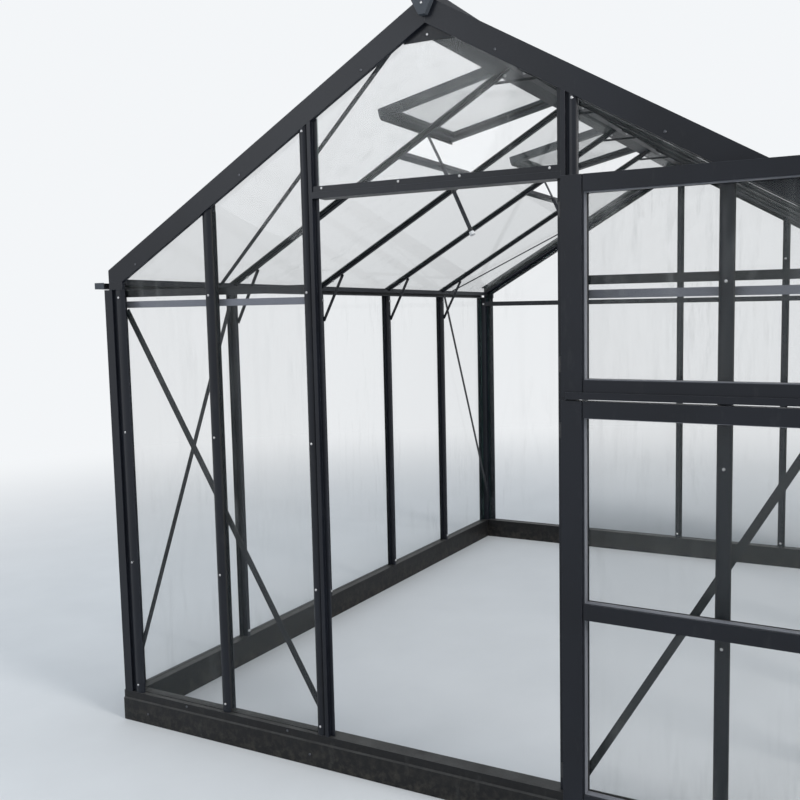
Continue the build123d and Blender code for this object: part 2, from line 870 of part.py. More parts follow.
with BuildPart() as openers_right:
    for low, high in vent_ranges:
        center = (low + high) / 2
        down = Vector(-sin(opener_slant), 0, -cos(opener_slant))
        top = Plane(origin=(opener_x, center, opener_z), x_dir=(0, 1, 0), z_dir=down)
        with BuildSketch(top):
            Circle(opener_radius)
        extrude(amount=opener_length)
        with BuildSketch(top.offset(opener_length)):
            Circle(opener_end_radius)
        extrude(amount=opener_end_length)
        upward = Vector(arm_x - opener_x, 0, arm_z - opener_z)
        arm = Plane(origin=(opener_x, center, opener_z), x_dir=(0, 1, 0), z_dir=upward)
        with BuildSketch(arm):
            Rectangle(2 * opener_radius, opener_arm_thick)
        extrude(amount=upward.length - opener_arm_gap)
        bracket = (opener_x, sill_x)
        bracket_z = (opener_z - opener_arm_thick, opener_z)
        box_between(bracket, (center - opener_radius, center + opener_radius), bracket_z)

with BuildPart() as vent_openers:
    mirror(openers_right.part, about=Plane.YZ)
finish(vent_openers, "vent_openers")


# Flat bars inside: ties across the gables, braces in the corners
def flat_bar(plane, start, end, width):
    """Straight flat bar on a plane from one point to another, square at its ends."""
    run = Vector(end[0] - start[0], end[1] - start[1])
    side = Vector(-run.Y, run.X).normalized() * (width / 2)
    corners = [
        (start[0] - side.X, start[1] - side.Y),
        (end[0] - side.X, end[1] - side.Y),
        (end[0] + side.X, end[1] + side.Y),
        (start[0] + side.X, start[1] + side.Y),
    ]
    return outline(plane, corners)


tie_end = half_width - post_face - post_body / 2
jamb_mid = jamb_outer - post_face - jamb_body / 2
tie_bars = [(wall_top - low_tie_drop, flat_width), (wall_top - high_tie_drop, high_tie_width)]

with BuildPart() as front_tie_bars:
    for height, width in tie_bars:
        bar_z = (height - width / 2, height + width / 2)
        box_between((jamb_mid, tie_end), (frame_depth, frame_depth + flat), bar_z)
    mirror(about=Plane.YZ)
finish(front_tie_bars, "front_tie_bars")

with BuildPart() as back_tie_bars:
    back_face = length - frame_depth
    back_tie_z = wall_top - back_tie_drop
    bar_z = (back_tie_z - back_tie_width / 2, back_tie_z + back_tie_width / 2)
    box_between((-tie_end, tie_end), (back_face - flat, back_face), bar_z)
finish(back_tie_bars, "back_tie_bars")

with BuildPart() as front_gable_braces:
    brace_plane = across(frame_depth + flat)
    low_end = (jamb_outer - brace_inset, brace_bottom)
    high_end = (tie_end - brace_end_inset, wall_top - brace_drop)
    extrude(flat_bar(brace_plane, low_end, high_end, flat_width), amount=flat)
    mirror(about=Plane.YZ)
finish(front_gable_braces, "front_gable_braces")

with BuildPart() as wall_braces:
    wall_plane = Plane(origin=(inner_face - flat, 0, 0), x_dir=(0, 1, 0), z_dir=(1, 0, 0))
    low_end = (post_face + post_body / 2, wall_brace_bottom)
    high_end = (wall_bar_y[0] - wall_brace_setback, wall_top + wall_brace_rise)
    extrude(flat_bar(wall_plane, low_end, high_end, wall_brace_width), amount=flat)
    mirror(about=Plane.YZ)
    mirror(about=middle)
finish(wall_braces, "wall_braces")

with BuildPart() as roof_braces:
    brace_under = under_rafter(flat + rafter_ledge - ledge_top)
    low_end = (wall_bar_y[0] - roof_brace_gap, -slope_length)
    high_end = (roof_brace_top, -roof_brace_start)
    extrude(flat_bar(brace_under, low_end, high_end, wall_brace_width), amount=flat)
    split(bisect_by=Plane.YZ.offset(inner_face), keep=Keep.BOTTOM)
    mirror(about=Plane.YZ)
    mirror(about=middle)
finish(roof_braces, "roof_braces")

with BuildPart() as knee_braces:
    low_end = (inner_face + bar_foot / 2, wall_top - knee_drop)
    high_end = slope_point(slope_length - knee_run, -knee_top_depth)
    for bar_y in wall_bar_y:
        knee_plane = across(bar_y + bar_foot_width / 2 + flat)
        extrude(flat_bar(knee_plane, low_end, high_end, knee_width), amount=flat)
    mirror(about=Plane.YZ)
finish(knee_braces, "knee_braces")

with BuildPart() as ridge_collars:
    collar_z = ridge_height - collar_drop
    for bar_y in wall_bar_y:
        beside_foot = bar_y + bar_foot_width / 2
        box_between(
            (-collar_half, collar_half),
            (beside_foot, beside_foot + flat),
            (collar_z - collar_width / 2, collar_z + collar_width / 2),
        )
finish(ridge_collars, "ridge_collars")


# Split door, standing open: each leaf is drawn on its own plane at the hinge line.
# There x runs along the leaf from the hinge and y points to the leaf's outer side.
def leaf_plane(open_angle):
    direction = radians(180 + open_angle)
    return Plane(
        origin=(door_hinge_x, -door_plane_gap, 0),
        x_dir=(cos(direction), sin(direction), 0),
        z_dir=(0, 0, 1),
    )


upper_plane = leaf_plane(upper_open_angle)
lower_plane = leaf_plane(lower_open_angle)
leaf_start = door_edge
door_bottom = base_height + door_bottom_gap
door_top = door_head_underside - door_head_gap
upper_bottom = seam_height + seam_gap / 2
lower_top = seam_height - seam_gap / 2


def stile_points(start, inward):
    """Stile cross-section: body, a bead set back from the inner side, a lip over the glass."""
    face = start + inward * stile_width
    tip = face + inward * bead
    lip = tip + inward * glass_lip
    return [
        (start, 0),
        (lip, 0),
        (lip, -glass_lip_thick),
        (tip, -glass_lip_thick),
        (tip, -door_thick + bead_recess),
        (face, -door_thick + bead_recess),
        (face, -door_thick),
        (start, -door_thick),
    ]


def leaf_stiles(plane, bottom, top):
    """Both stiles of a leaf as sketches at its bottom, and their height."""
    foot = plane.offset(bottom)
    hinge_stile = outline(foot, stile_points(leaf_start, 1))
    free_stile = outline(foot, stile_points(leaf_width, -1))
    return [hinge_stile, free_stile], top - bottom


def rail_box(plane, low, high, depths):
    """Level piece of a leaf between the stiles' beads, over a range of the leaf's depth."""
    left = leaf_start + stile_width + bead
    right = leaf_width - stile_width - bead
    with BuildSketch(plane.offset(low)) as section:
        with Locations(((left + right) / 2, (depths[0] + depths[1]) / 2)):
            Rectangle(right - left, depths[1] - depths[0])
    return section.sketch, high - low


rail_depths = (-door_thick, -glass_lip_thick)
pane_depths = (-glass_lip_thick - glass_seat - door_glass, -glass_lip_thick - glass_seat)
upper_levels = [(upper_bottom, upper_bottom + door_rail), (door_top - door_rail, door_top)]
lower_levels = [
    (door_bottom, door_bottom + door_rail),
    (mid_rail_top - door_rail, mid_rail_top),
    (lower_top - door_rail, lower_top),
]

with BuildPart() as upper_door_stiles:
    stiles, height = leaf_stiles(upper_plane, upper_bottom, door_top)
    for stile in stiles:
        extrude(stile, amount=height)
finish(upper_door_stiles, "upper_door_stiles")

with BuildPart() as upper_door_rails:
    for low, high in upper_levels:
        sketch, height = rail_box(upper_plane, low, high, rail_depths)
        extrude(sketch, amount=height)
finish(upper_door_rails, "upper_door_rails")

with BuildPart() as upper_door_seam_strip:
    strip_bottom = upper_plane.offset(lower_top + seam_strip_clearance)
    with BuildSketch(strip_bottom):
        with Locations(((leaf_start + leaf_width) / 2, -door_thick)):
            Rectangle(
                leaf_width - leaf_start - 2 * seam_strip_inset,
                seam_strip_thick,
                align=(Align.CENTER, Align.MAX),
            )
    extrude(amount=seam_strip)
finish(upper_door_seam_strip, "upper_door_seam_strip")

with BuildPart() as lower_door_stiles:
    stiles, height = leaf_stiles(lower_plane, door_bottom, lower_top)
    for stile in stiles:
        extrude(stile, amount=height)
finish(lower_door_stiles, "lower_door_stiles")

with BuildPart() as lower_door_rails:
    for low, high in lower_levels:
        sketch, height = rail_box(lower_plane, low, high, rail_depths)
        extrude(sketch, amount=height)
finish(lower_door_rails, "lower_door_rails")

with BuildPart() as upper_door_glass:
    sketch, height = rail_box(upper_plane, upper_levels[0][1], upper_levels[1][0], pane_depths)
    extrude(sketch, amount=height)
finish(upper_door_glass, "upper_door_glass")

with BuildPart() as lower_door_glass:
    for below, above in zip(lower_levels, lower_levels[1:]):
        sketch, height = rail_box(lower_plane, below[1], above[0], pane_depths)
        extrude(sketch, amount=height)
finish(lower_door_glass, "lower_door_glass")


# Hinges: arms, lower knuckles and pins on the jamb, straps and upper knuckles on the leaves
upper_hinges = [upper_bottom + hinge_inset, door_top - hinge_inset]
lower_hinges = [door_bottom + hinge_inset, lower_top - hinge_inset]

with BuildPart() as hinge_brackets:
    axis_y = -door_plane_gap
    for height in upper_hinges + lower_hinges:
        bracket_z = (height - knuckle_height, height)
        plate_x = (door_hinge_x - hinge_plate, door_hinge_x - hinge_plate + hinge_plate_width)
        box_between(plate_x, (-hinge_plate, 0), bracket_z)
        arm_x_range = (door_hinge_x - hinge_plate, door_hinge_x + hinge_plate)
        box_between(arm_x_range, (axis_y, -hinge_plate), bracket_z)
        with BuildSketch(Plane(origin=(door_hinge_x, axis_y, height - knuckle_height))):
            Circle(knuckle_radius)
        extrude(amount=knuckle_height)
        with BuildSketch(Plane(origin=(door_hinge_x, axis_y, height))):
            Circle(pin_radius)
        extrude(amount=knuckle_height)
finish(hinge_brackets, "hinge_brackets")


def leaf_hinge(plane, height):
    """Strap on the leaf's outer face and the knuckle round the pin, at one height."""
    with BuildSketch(plane.offset(height + pin_clearance)) as section:
        with Locations((0, 0)):
            Circle(knuckle_radius)
        with Locations((0, 0)):
            Rectangle(leaf_start + stile_width / 2, hinge_plate, align=(Align.MIN, Align.MIN))
        with Locations((0, 0)):
            Circle(pin_radius + pin_clearance, mode=Mode.SUBTRACT)
    return section.sketch


with BuildPart() as upper_door_hinges:
    for height in upper_hinges:
        extrude(leaf_hinge(upper_plane, height), amount=knuckle_height)
finish(upper_door_hinges, "upper_door_hinges")

with BuildPart() as lower_door_hinges:
    for height in lower_hinges:
        extrude(leaf_hinge(lower_plane, height), amount=knuckle_height)
finish(lower_door_hinges, "lower_door_hinges")


# Turn latches on the free stiles' outer faces
def latch_outline(plane, height):
    """Footprint of one latch on the free stile, at the height of its lower end."""
    with BuildSketch(plane.offset(height)) as section:
        with Locations((leaf_width - stile_width / 2, 0)):
            Rectangle(latch_width, latch_height, align=(Align.CENTER, Align.MIN))
    return section.sketch


with BuildPart() as upper_door_latch:
    extrude(latch_outline(upper_plane, upper_bottom + hinge_inset), amount=latch_length)
finish(upper_door_latch, "upper_door_latch")

with BuildPart() as lower_door_latch:
    extrude(latch_outline(lower_plane, lower_top - hinge_inset - latch_length), amount=latch_length)
finish(lower_door_latch, "lower_door_latch")
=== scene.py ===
"""Glass greenhouse: materials, seals, screws, latches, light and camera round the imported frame."""

from math import cos, pi, radians, sin, tan

import bmesh
import bpy
from mathutils import Matrix, Vector


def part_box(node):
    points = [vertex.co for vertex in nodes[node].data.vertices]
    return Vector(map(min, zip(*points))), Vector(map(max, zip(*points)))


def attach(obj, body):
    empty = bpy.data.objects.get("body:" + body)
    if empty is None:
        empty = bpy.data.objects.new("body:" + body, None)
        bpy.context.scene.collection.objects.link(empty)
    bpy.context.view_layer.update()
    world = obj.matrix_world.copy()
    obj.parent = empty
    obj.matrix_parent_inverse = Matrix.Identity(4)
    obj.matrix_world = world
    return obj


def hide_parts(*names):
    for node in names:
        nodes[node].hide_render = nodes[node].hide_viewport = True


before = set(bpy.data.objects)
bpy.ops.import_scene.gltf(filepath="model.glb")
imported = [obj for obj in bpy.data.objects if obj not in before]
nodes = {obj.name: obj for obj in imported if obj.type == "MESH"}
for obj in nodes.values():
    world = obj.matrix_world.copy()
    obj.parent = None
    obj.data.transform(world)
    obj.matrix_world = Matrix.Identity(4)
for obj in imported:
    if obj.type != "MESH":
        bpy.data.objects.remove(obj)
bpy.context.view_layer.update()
scene = bpy.context.scene

# Places and sizes that the small pieces share, in metres
half_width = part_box("front_corner_posts")[1].x
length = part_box("back_corner_posts")[1].y
base_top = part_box("front_base_rail")[1].z
wall_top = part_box("right_wall_glass")[1].z
head_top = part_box("door_head")[1].z
pitch = radians(29.4)
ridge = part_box("ridge_beam")[1].z - 0.020
slope_length = half_width / cos(pitch)
slope = Vector((cos(pitch), 0, -sin(pitch)))
out_of_slope = Vector((sin(pitch), 0, cos(pitch)))
rafter_height = 0.072
roof_glass_top = -0.0378
roof_bar_foot = -0.052
glass_inset = 0.020
glass_half = 0.002
cap_half = 0.019
frame_depth = 0.0542
gable_bar_x = 0.912
back_bar_x = 0.644

# Crowns of the round channels, from the corner for a post, from the middle for a jamb
post_crown = 0.0715
jamb_crown = 0.4745

# Depth of the bars' round caps behind the wall face, step of the base's foot, and
# thickness of the flat bars and hinge plates
bar_crown = 0.006
base_step = 0.005
plate = 0.003

# Open vents: width of their bars, half height, half pane and where the pane starts and ends
vent_bar = 0.038
vent_face = 0.017
vent_pane_face = 0.0015
vent_pane_ends = (0.046, 0.547)

# Door leaves, from the hinge line: sides and faces of the panes, height of the middle rail
door_pane_sides = (0.0815, 0.8275)
door_pane_faces = (-0.0062, -0.0032)
mid_rail = (0.704, 0.752)
latch_line = 0.8635

# Glazing bars of the side walls and roof, and the bays in which the vents hang
bay = (length - 0.054) / 5
bar_places = [0.027 + bay * number for number in range(1, 5)]
vent_pitch = pitch - radians(17.0)
vent_spans = [(bar_places[i] + 0.011, bar_places[i + 1] - 0.011) for i in (0, 2)]


def slope_point(along, out, y, side=1):
    """Point on a roof slope: side 1 is the right slope and -1 the left one."""
    p = Vector((0, y, ridge)) + slope * along + out_of_slope * out
    return Vector((p.x * side, p.y, p.z))


def slope_out(side):
    """Direction out of a roof slope."""
    return Vector((out_of_slope.x * side, 0, out_of_slope.z))


def rafter_under(x):
    """Height of the gable rafters' lower edge at x."""
    return ridge - abs(x) * tan(pitch) - rafter_height / cos(pitch)


vent_axis = slope_point(0.046, -0.012, 0, -1)
vent_run = Vector((-cos(vent_pitch), 0, -sin(vent_pitch)))
vent_out = Vector((-sin(vent_pitch), 0, cos(vent_pitch)))


def vent_point(along, out, y):
    """Point on the open vents: along from the hinge, out of the vent, y along the house."""
    return vent_axis + vent_run * along + vent_out * out + Vector((0, y, 0))


class Leaf:
    """Directions and points of one door leaf as it stands open at rest."""

    def __init__(self, open_angle):
        turn = radians(180 + open_angle)
        self.along = Vector((cos(turn), sin(turn), 0))
        self.outward = Vector((-sin(turn), cos(turn), 0))

    def point(self, along, outward, height):
        """Point along from the hinge line and outward from the leaf's middle, at a height."""
        hinge = Vector((0.4545, -0.042, height))
        return hinge + self.along * along + self.outward * outward


upper_leaf = Leaf(179.5)
lower_leaf = Leaf(178.5)


# Node material helpers
def new_material(name):
    """Material with one Principled shader linked to its output."""
    mat = bpy.data.materials.new(name)
    mat.use_nodes = True
    tree = mat.node_tree
    tree.nodes.clear()
    out = tree.nodes.new("ShaderNodeOutputMaterial")
    shader = tree.nodes.new("ShaderNodeBsdfPrincipled")
    tree.links.new(shader.outputs[0], out.inputs[0])
    return mat, tree, shader, out


def add(tree, kind, **values):
    """New node with its properties set."""
    node = tree.nodes.new(kind)
    for key, value in values.items():
        setattr(node, key, value)
    return node


def noise(tree, vector, scale, detail=3.0, roughness=0.55):
    """Noise between 0 and 1 at each place."""
    n = add(tree, "ShaderNodeTexNoise")
    n.inputs["Scale"].default_value = scale
    n.inputs["Detail"].default_value = detail
    n.inputs["Roughness"].default_value = roughness
    tree.links.new(vector, n.inputs["Vector"])
    return n.outputs["Fac"]


def ramp(tree, value, low, high, start=0.0, end=1.0):
    """Value moved from the range low to high into the range start to end."""
    n = add(tree, "ShaderNodeMapRange", clamp=True)
    n.inputs["From Min"].default_value = low
    n.inputs["From Max"].default_value = high
    n.inputs["To Min"].default_value = start
    n.inputs["To Max"].default_value = end
    tree.links.new(value, n.inputs["Value"])
    return n.outputs["Result"]


def math(tree, operation, a, b=0.0):
    """Math node on numbers or sockets."""
    n = add(tree, "ShaderNodeMath", operation=operation)
    for socket, value in zip(n.inputs, (a, b)):
        if isinstance(value, (int, float)):
            socket.default_value = value
        else:
            tree.links.new(value, socket)
    return n.outputs[0]


def mix(tree, fac, a, b):
    """Colour between a and b by a factor."""
    n = add(tree, "ShaderNodeMix", data_type="RGBA")
    tree.links.new(fac, n.inputs["Factor"])
    for socket, value in ((n.inputs[6], a), (n.inputs[7], b)):
        if isinstance(value, tuple):
            socket.default_value = value + (1,)
        else:
            tree.links.new(value, socket)
    return n.outputs[2]


def position(tree):
    """Place on the piece, in its own metres."""
    return add(tree, "ShaderNodeTexCoord").outputs["Object"]


def axis_value(tree, vector, axis):
    """One coordinate of a vector: 0, 1 or 2."""
    n = add(tree, "ShaderNodeSeparateXYZ")
    tree.links.new(vector, n.inputs[0])
    return n.outputs[axis]


def stretched(tree, vector, scale):
    """Vector scaled axis by axis."""
    n = add(tree, "ShaderNodeMapping")
    n.inputs["Scale"].default_value = scale
    tree.links.new(vector, n.inputs["Vector"])
    return n.outputs[0]


def edge_mask(tree, radius):
    """1 on edges and 0 on flat faces, with the rounded normal that edges shade with."""
    bevel = add(tree, "ShaderNodeBevel", samples=3)
    bevel.inputs["Radius"].default_value = radius
    flat = add(tree, "ShaderNodeNewGeometry")
    dot = add(tree, "ShaderNodeVectorMath", operation="DOT_PRODUCT")
    tree.links.new(bevel.outputs[0], dot.inputs[0])
    tree.links.new(flat.outputs["Normal"], dot.inputs[1])
    return ramp(tree, dot.outputs["Value"], 0.98, 0.80), bevel.outputs[0], flat.outputs["Normal"]


def bump(tree, height, strength, distance, normal=None):
    """Normal bent by a height."""
    n = add(tree, "ShaderNodeBump")
    n.inputs["Strength"].default_value = strength
    n.inputs["Distance"].default_value = distance
    tree.links.new(height, n.inputs["Height"])
    if normal is not None:
        tree.links.new(normal, n.inputs["Normal"])
    return n.outputs[0]


def powder_coat(name, dark, light, edge_wear_and_highlight, dust=0.10, splash=0.0, rough=(0.34, 0.48), below=None):
    """Satin powder coat: orange peel, cloudy tone, dust on upward faces, pale edges from wear and
    partly a painted highlight.
    """
    mat, tree, shader, _ = new_material(name)
    where = position(tree)
    colour = mix(tree, ramp(tree, noise(tree, where, 2.3, 4.0), 0.35, 0.68), dark, light)
    if below is not None:
        level, paler = below
        low_bar = ramp(tree, axis_value(tree, where, 2), level + 0.001, level - 0.001)
        colour = mix(tree, low_bar, colour, paler)
    edges, rounded, normal = edge_mask(tree, 0.0016)
    patchy = ramp(tree, noise(tree, where, 26.0), 0.40, 0.66, 0.25, 0.95)
    # Patchy edges take the edge colour: edge wear, and partly a painted highlight.
    colour = mix(tree, math(tree, "MULTIPLY", edges, patchy), colour, edge_wear_and_highlight)
    up = ramp(tree, axis_value(tree, normal, 2), 0.35, 0.95)
    cover = ramp(tree, noise(tree, where, 9.0, 3.0), 0.30, 0.70, 0.25, 1.0)
    settled = math(tree, "MULTIPLY", up, cover)
    drip = noise(tree, stretched(tree, where, (1.0, 1.0, 0.30)), 22.0, 4.0, 0.7)
    streak = ramp(tree, drip, 0.58, 0.80, 0.0, 0.45)
    dusty = math(tree, "MULTIPLY", math(tree, "MAXIMUM", settled, streak), dust)
    colour = mix(tree, dusty, colour, (0.26, 0.26, 0.25))
    if splash:
        low = ramp(tree, axis_value(tree, where, 2), 0.12, 0.0)
        spots = ramp(tree, noise(tree, where, 34.0, 6.0, 0.7), 0.44, 0.74)
        mud = math(tree, "MULTIPLY", math(tree, "MULTIPLY", low, spots), splash)
        colour = mix(tree, mud, colour, (0.16, 0.14, 0.11))
    tree.links.new(colour, shader.inputs["Base Color"])
    gloss = ramp(tree, noise(tree, where, 240.0, 2.0), 0.3, 0.7, rough[0], rough[1])
    duller = math(tree, "ADD", gloss, math(tree, "MULTIPLY", dusty, 0.5))
    tree.links.new(duller, shader.inputs["Roughness"])
    peel = bump(tree, noise(tree, where, 620.0, 2.0), 0.10, 0.0006, rounded)
    tree.links.new(peel, shader.inputs["Normal"])
    shader.inputs["Specular IOR Level"].default_value = 0.28
    return mat


def clear_glass(name, pane, dirt):
    """Thin clear pane: glossier at a slant, with faint run marks and green cut edges."""
    mat, tree, shader, _ = new_material(name)
    where = position(tree)
    tall = stretched(tree, where, (1.0, 1.0, 0.16))
    runs = ramp(tree, noise(tree, tall, 15.0, 3.0, 0.7), 0.52, 0.80)
    cloud = ramp(tree, noise(tree, where, 1.4, 2.0), 0.42, 0.70)
    marks = math(tree, "MULTIPLY", runs, cloud)
    faces = add(tree, "ShaderNodeVectorMath", operation="DOT_PRODUCT")
    tree.links.new(add(tree, "ShaderNodeNewGeometry").outputs["Normal"], faces.inputs[0])
    faces.inputs[1].default_value = pane
    cut = ramp(tree, math(tree, "ABSOLUTE", faces.outputs["Value"]), 0.9, 0.5)
    facing = add(tree, "ShaderNodeLayerWeight")
    facing.inputs["Blend"].default_value = 0.5
    gloss = ramp(tree, math(tree, "POWER", facing.outputs["Facing"], 4.0), 0.0, 1.0, 0.045, 0.60)
    seen = math(tree, "ADD", math(tree, "MULTIPLY", marks, dirt), gloss)
    seen = math(tree, "MAXIMUM", seen, math(tree, "MULTIPLY", cut, 0.65))
    body = mix(tree, ramp(tree, marks, 0.0, 0.35), (0.045, 0.070, 0.066), (0.42, 0.44, 0.43))
    tree.links.new(mix(tree, cut, body, (0.055, 0.17, 0.14)), shader.inputs["Base Color"])
    tree.links.new(ramp(tree, marks, 0.0, 1.0, 0.02, 0.32), shader.inputs["Roughness"])
    tree.links.new(seen, shader.inputs["Alpha"])
    tree.links.new(bump(tree, noise(tree, where, 3.2, 0.0), 0.05, 0.004), shader.inputs["Normal"])
    shader.inputs["IOR"].default_value = 2.6
    return mat


def simple(name, dark, light, scale, rough, metallic=0.0, grain=400.0):
    """Small-part material: two close tones, uneven gloss, fine bump, and lighter edges that are a
    painted highlight.
    """
    mat, tree, shader, _ = new_material(name)
    where = position(tree)
    edges, rounded, _ = edge_mask(tree, 0.0008)
    colour = mix(tree, ramp(tree, noise(tree, where, scale, 4.0), 0.35, 0.68), dark, light)
    # Lighter colour on the edges: a painted highlight.
    brighter = tuple(min(1.0, v * 1.5 + 0.02) for v in light)
    colour = mix(tree, math(tree, "MULTIPLY", edges, 0.5), colour, brighter)
    tree.links.new(colour, shader.inputs["Base Color"])
    gloss = ramp(tree, noise(tree, where, scale * 3), 0.3, 0.7, rough[0], rough[1])
    tree.links.new(gloss, shader.inputs["Roughness"])
    shader.inputs["Metallic"].default_value = metallic
    grainy = bump(tree, noise(tree, where, grain, 2.0), 0.15, 0.0004, rounded)
    tree.links.new(grainy, shader.inputs["Normal"])
    return mat


# Edge colour of the frame coat: edge wear, and partly a painted highlight.
edge_wear_and_highlight_colour = (0.080, 0.090, 0.115)
# Frame coat tones: dark anthracite, shifted towards blue as a painted sky reflection.
coat = powder_coat("frame_coating", (0.0060, 0.0074, 0.0115), (0.0100, 0.0122, 0.0185), edge_wear_and_highlight_colour)
base_coat = powder_coat("base_coating", (0.0045, 0.0046, 0.0052), (0.0090, 0.0092, 0.0105),
                        (0.05, 0.05, 0.055), dust=0.22, splash=0.32, rough=(0.42, 0.58))
bar_coat = powder_coat("inner_bar_coating", (0.010, 0.011, 0.014), (0.020, 0.022, 0.027),
                       (0.10, 0.105, 0.115), dust=0.20, rough=(0.36, 0.52))
# Front tie bars: below 1.665 m, the lower bar is coloured a paler grey.
tie_coat = powder_coat("tie_bar_coating", (0.010, 0.011, 0.014), (0.020, 0.022, 0.027),
                       (0.15, 0.155, 0.17), dust=0.20, rough=(0.36, 0.52),
                       below=(1.665, (0.235, 0.240, 0.280)))
cap_coat = powder_coat("cap_plastic", (0.050, 0.057, 0.068), (0.074, 0.084, 0.099),
                       (0.16, 0.17, 0.19), dust=0.25, rough=(0.45, 0.60))
# Bead colour: pale grey as a painted highlight for the door reveals.
bead_highlight_coat = powder_coat("bead_highlight_coating", (0.150, 0.155, 0.175), (0.200, 0.205, 0.230),
                        (0.30, 0.31, 0.33), dust=0.10, rough=(0.36, 0.50))
fitting = simple("fitting_coating", (0.008, 0.009, 0.011), (0.018, 0.019, 0.023), 40.0,
                 (0.35, 0.5))
opener = simple("opener_metal", (0.020, 0.022, 0.027), (0.038, 0.041, 0.050), 30.0,
                (0.28, 0.42), metallic=0.4)
rubber = simple("seal_rubber", (0.006, 0.006, 0.006), (0.012, 0.012, 0.012), 60.0, (0.55, 0.75))
steel = simple("screw_steel", (0.42, 0.42, 0.43), (0.62, 0.62, 0.63), 300.0,
               (0.22, 0.40), metallic=1.0)
dark_steel = simple("coated_screw_steel", (0.06, 0.065, 0.075), (0.13, 0.135, 0.15), 300.0,
                    (0.26, 0.42), metallic=0.8)
white = simple("opener_end_plastic", (0.84, 0.85, 0.86), (0.92, 0.92, 0.92), 80.0, (0.35, 0.5))

gable_glass = clear_glass("gable_glass", (0, 1, 0), 0.14)
wall_glass = clear_glass("wall_glass", (1, 0, 0), 0.14)
left_roof_glass = clear_glass("left_roof_glass", tuple(slope_out(-1)), 0.16)
right_roof_glass = clear_glass("right_roof_glass", tuple(slope_out(1)), 0.16)
vent_pane = clear_glass("vent_glass", tuple(vent_out), 0.16)
door_pane = clear_glass("door_glass", (0, 1, 0), 0.08)

glass_of = {
    "front_gable_glass": gable_glass,
    "over_door_glass": gable_glass,
    "back_gable_glass": gable_glass,
    "left_wall_glass": wall_glass,
    "right_wall_glass": wall_glass,
    "left_roof_glass": left_roof_glass,
    "right_roof_glass": right_roof_glass,
    "vent_glass": vent_pane,
    "upper_door_glass": door_pane,
    "lower_door_glass": door_pane,
}
inner_bars = ("back_tie_bars", "front_gable_braces", "wall_braces", "roof_braces", "knee_braces",
              "ridge_collars", "apex_gussets")


def node_material(name):
    """Material of a CAD node, by its name."""
    if name in glass_of:
        return glass_of[name]
    if name.endswith("base_rail"):
        return base_coat
    if name.endswith("end_caps"):
        return cap_coat
    if name in inner_bars:
        return bar_coat
    if name == "front_tie_bars":
        return tie_coat
    if name == "vent_openers":
        return opener
    if "hinge" in name or "latch" in name:
        return fitting
    return coat


for name, node in nodes.items():
    node.data.materials.clear()
    node.data.materials.append(node_material(name))


# Heights of the screws on the uprights, and of those on the base and its sill
screw_levels = (0.150, 0.645, 1.157, 1.672)
top_screw_level = 2.203
foot_screw_level = 0.041
sill_screw_level = base_top - 0.011


# Mesh builders for the small pieces
def make(name, bm, body, material):
    """Turn a bmesh into a piece that rides on a body."""
    mesh = bpy.data.meshes.new(name)
    bmesh.ops.recalc_face_normals(bm, faces=bm.faces)
    bm.to_mesh(mesh)
    bm.free()
    for face in mesh.polygons:
        face.use_smooth = True
    piece = bpy.data.objects.new(name, mesh)
    scene.collection.objects.link(piece)
    mesh.materials.append(material)
    piece.modifiers.new("edges", "EDGE_SPLIT").split_angle = radians(35)
    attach(piece, body)
    return piece


def turned(bm, profile, centre, axis, steps=16):
    """Solid of revolution from (radius, height) pairs, standing on centre along axis."""
    turn = Vector(axis).normalized().to_track_quat("Z", "Y").to_matrix().to_4x4()
    place = Matrix.Translation(centre) @ turn
    rings = []
    for radius, height in profile:
        count = steps if radius > 1e-6 else 1
        ring = []
        for i in range(count):
            a = 2 * pi * i / steps
            ring.append(bm.verts.new(place @ Vector((radius * cos(a), radius * sin(a), height))))
        rings.append(ring)
    for low, high in zip(rings, rings[1:]):
        for i in range(steps):
            j = (i + 1) % steps
            below = [low[i % len(low)], low[j % len(low)]]
            above = [high[j % len(high)], high[i % len(high)]]
            unique = list(dict.fromkeys(below + above))
            if len(unique) > 2:
                bm.faces.new(unique)


def swept(bm, section, start, end, across, up):
    """Straight extrusion of a closed section of (across, up) pairs from start to end."""
    across, up = Vector(across), Vector(up)
    ends = []
    for point in (start, end):
        ends.append([bm.verts.new(Vector(point) + across * a + up * b) for a, b in section])
    count = len(section)
    for i in range(count):
        j = (i + 1) % count
        bm.faces.new((ends[0][i], ends[0][j], ends[1][j], ends[1][i]))
    bm.faces.new(ends[0])
    bm.faces.new(list(reversed(ends[1])))


# Half profiles of the fasteners: (radius, height over the face that they stand on)
screw_profile = [(0, -0.0006), (0.0046, -0.0006), (0.0046, 0.0004), (0.0040, 0.0016),
                 (0.0028, 0.0023), (0.0018, 0.0025), (0.0016, 0.0012), (0, 0.0011)]
bolt_profile = [(0, -0.0006), (0.0028, -0.0006), (0.0028, 0.0070), (0.0024, 0.0076), (0, 0.0076)]
washer_profile = [(0, -0.0005), (0.0066, -0.0005), (0.0066, 0.0007), (0.0060, 0.0011), (0, 0.0011)]
nut_profile = [(0, 0.0008), (0.0050, 0.0008), (0.0056, 0.0013), (0.0056, 0.0050),
               (0.0050, 0.0056), (0, 0.0056)]


def screws(name, places, body, metal=steel):
    """Pan-head screws with a round recess, one for each (centre, outward axis)."""
    bm = bmesh.new()
    for centre, axis in places:
        turned(bm, screw_profile, centre, axis, 14)
    return make(name, bm, body, metal)


def bolts(name, places, body):
    """Bolt ends with washer and hexagonal nut, one for each (centre, outward axis)."""
    bm = bmesh.new()
    for centre, axis in places:
        turned(bm, washer_profile, centre, axis, 14)
        turned(bm, nut_profile, centre, axis, 6)
        turned(bm, bolt_profile, centre, axis, 10)
    return make(name, bm, body, steel)


